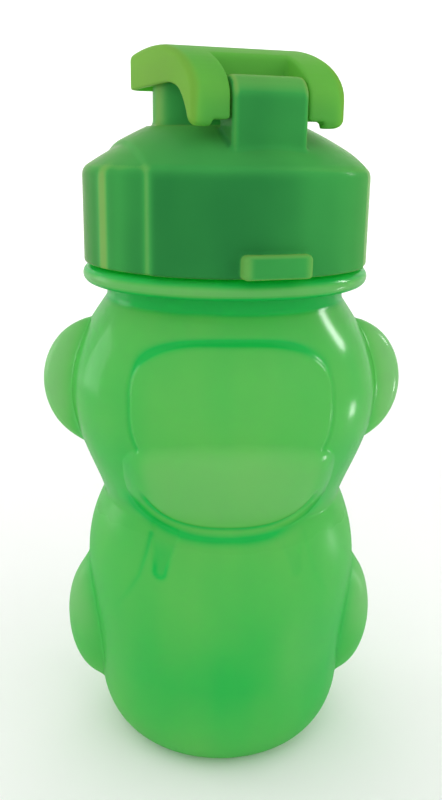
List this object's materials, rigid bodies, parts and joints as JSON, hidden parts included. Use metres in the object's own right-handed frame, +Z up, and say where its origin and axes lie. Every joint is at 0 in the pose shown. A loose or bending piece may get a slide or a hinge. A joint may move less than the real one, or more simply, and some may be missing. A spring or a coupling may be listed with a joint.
{
  "type": "figural bottle",
  "caption": "Translucent drink bottle moulded as a round-eared animal figure, closed by a screw cap with a drinking spout and a hinged flip lid.",
  "frame": {"origin": "centre of the flat base, on the surface the bottle stands on", "axes": "+Z up along the bottle's axis, -Y towards the figure's face, +X to the right of someone who faces the figure"},
  "size_m": [0.086, 0.0751, 0.1656],
  "materials": {
    "bottle_plastic": "blow-moulded translucent bright green polyethylene, smooth and softly glossy",
    "cap_plastic": "injection-moulded deep translucent green polypropylene, glossy",
    "lid_plastic": "injection-moulded yellowish green polypropylene, glossy",
    "pin_plastic": "moulded green plastic rod",
    "silicone": "soft white silicone, matt"
  },
  "bodies": {
    "bottle": {"bottle_body": "bottle_plastic"},
    "gasket": {"cap_gasket": "silicone"},
    "cap": {"screw_cap": "cap_plastic", "hinge_pin": "pin_plastic"},
    "lid": {"flip_lid": "lid_plastic", "lid_seal": "silicone"}
  },
  "joints": [
    {"name": "cap_lift", "type": "slide", "parent": "bottle", "child": "gasket", "axis": [0, 0, 1], "range_m": [0, 0.0081]},
    {"name": "cap_turn", "type": "hinge", "parent": "gasket", "child": "cap", "pos_m": [0, 0, 0.13], "axis": [0, 0, 1], "range_deg": [0, 720]},
    {"name": "lid_flip", "type": "hinge", "parent": "cap", "child": "lid", "pos_m": [0.00606, -0.02115, 0.1535], "axis": [0.9613, 0.2756, 0], "range_deg": [0, 170]}
  ],
  "couplings": [
    {"joint": "cap_lift", "follows": "cap_turn", "m_per_rad": 0.00063662}
  ]
}
